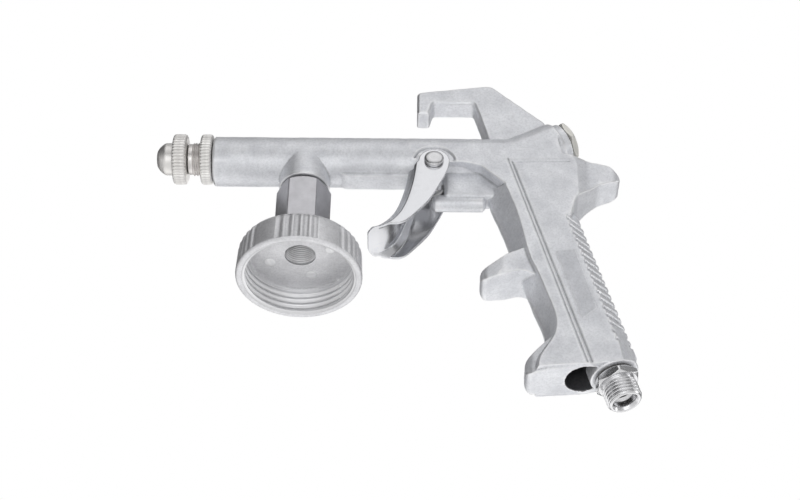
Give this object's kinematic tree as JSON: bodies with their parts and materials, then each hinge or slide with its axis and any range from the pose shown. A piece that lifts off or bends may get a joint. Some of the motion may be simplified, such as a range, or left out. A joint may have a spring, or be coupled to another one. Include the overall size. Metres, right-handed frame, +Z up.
{
  "type": "siphon-feed spray gun",
  "caption": "Pistol-grip siphon spray gun with hanging hook, screw-on cup lid, sprung trigger, inclined air valve and adjustable knurled nozzle.",
  "frame": {"origin": "centre of the cup lid's mouth, at the start of its inside thread", "axes": "+Z up along the cup lid's axis towards the barrel, -X along the barrel towards the nozzle, +X towards the handle, gun symmetric about Y = 0"},
  "size_m": [0.1858, 0.0484, 0.1585],
  "materials": {
    "cast_body": "satin, die cast and tumbled",
    "nozzle_nickel": "matt nickel",
    "nozzle_steel": "turned",
    "seal_fibre": "matt",
    "jet_brass": "turned",
    "lid_cast": "die cast, machined rim",
    "hex_steel": "satin zinc",
    "trigger_chrome": "polished",
    "pin_steel": "polished",
    "valve_steel": "ground",
    "plug_nickel": "matt nickel",
    "inlet_chrome": "polished",
    "filter_bronze": "sintered"
  },
  "bodies": {
    "gun": {"gun_body": "cast_body", "air_jet": "jet_brass", "cup_lid": "lid_cast", "hex_nipple": "hex_steel", "nipple_washer": "seal_fibre", "trigger_pin": "pin_steel", "trigger_clip": "valve_steel", "valve_seat": "jet_brass", "valve_gland": "jet_brass", "valve_packing": "seal_fibre", "valve_spring": "valve_steel", "rear_plug": "plug_nickel", "rear_gasket": "seal_fibre", "inlet_nipple": "inlet_chrome", "inlet_washer": "seal_fibre", "inlet_filter": "filter_bronze"},
    "nozzle": {"nozzle_cap": "nozzle_nickel", "nozzle_tube": "nozzle_steel", "nozzle_seal": "seal_fibre"},
    "lock_ring": {"lock_ring": "nozzle_nickel"},
    "trigger": {"trigger": "trigger_chrome"},
    "valve": {"valve_stem": "valve_steel", "valve_poppet": "jet_brass", "poppet_seal": "seal_fibre"}
  },
  "joints": [
    {"name": "trigger_pull", "type": "hinge", "parent": "gun", "child": "trigger", "pos_m": [0.0512, 0, 0.052], "axis": [0, -1, 0], "range_deg": [0, 15], "stiffness_Nm_per_rad": 0.25, "springref_deg": -14.32},
    {"name": "valve_slide", "type": "slide", "parent": "gun", "child": "valve", "axis": [0.8746, 0, 0.4848], "range_m": [0, 0.0043], "deforming": ["valve_spring"]},
    {"name": "nozzle_turn", "type": "hinge", "parent": "gun", "child": "nozzle", "pos_m": [-0.045, 0, 0.0616], "axis": [-1, 0, 0], "continuous": true},
    {"name": "lock_ring_turn", "type": "hinge", "parent": "gun", "child": "lock_ring", "pos_m": [-0.0395, 0, 0.0616], "axis": [-1, 0, 0], "continuous": true}
  ],
  "couplings": [
    {"joint": "valve_slide", "follows": "trigger_pull", "m_per_rad": 0.01604}
  ]
}
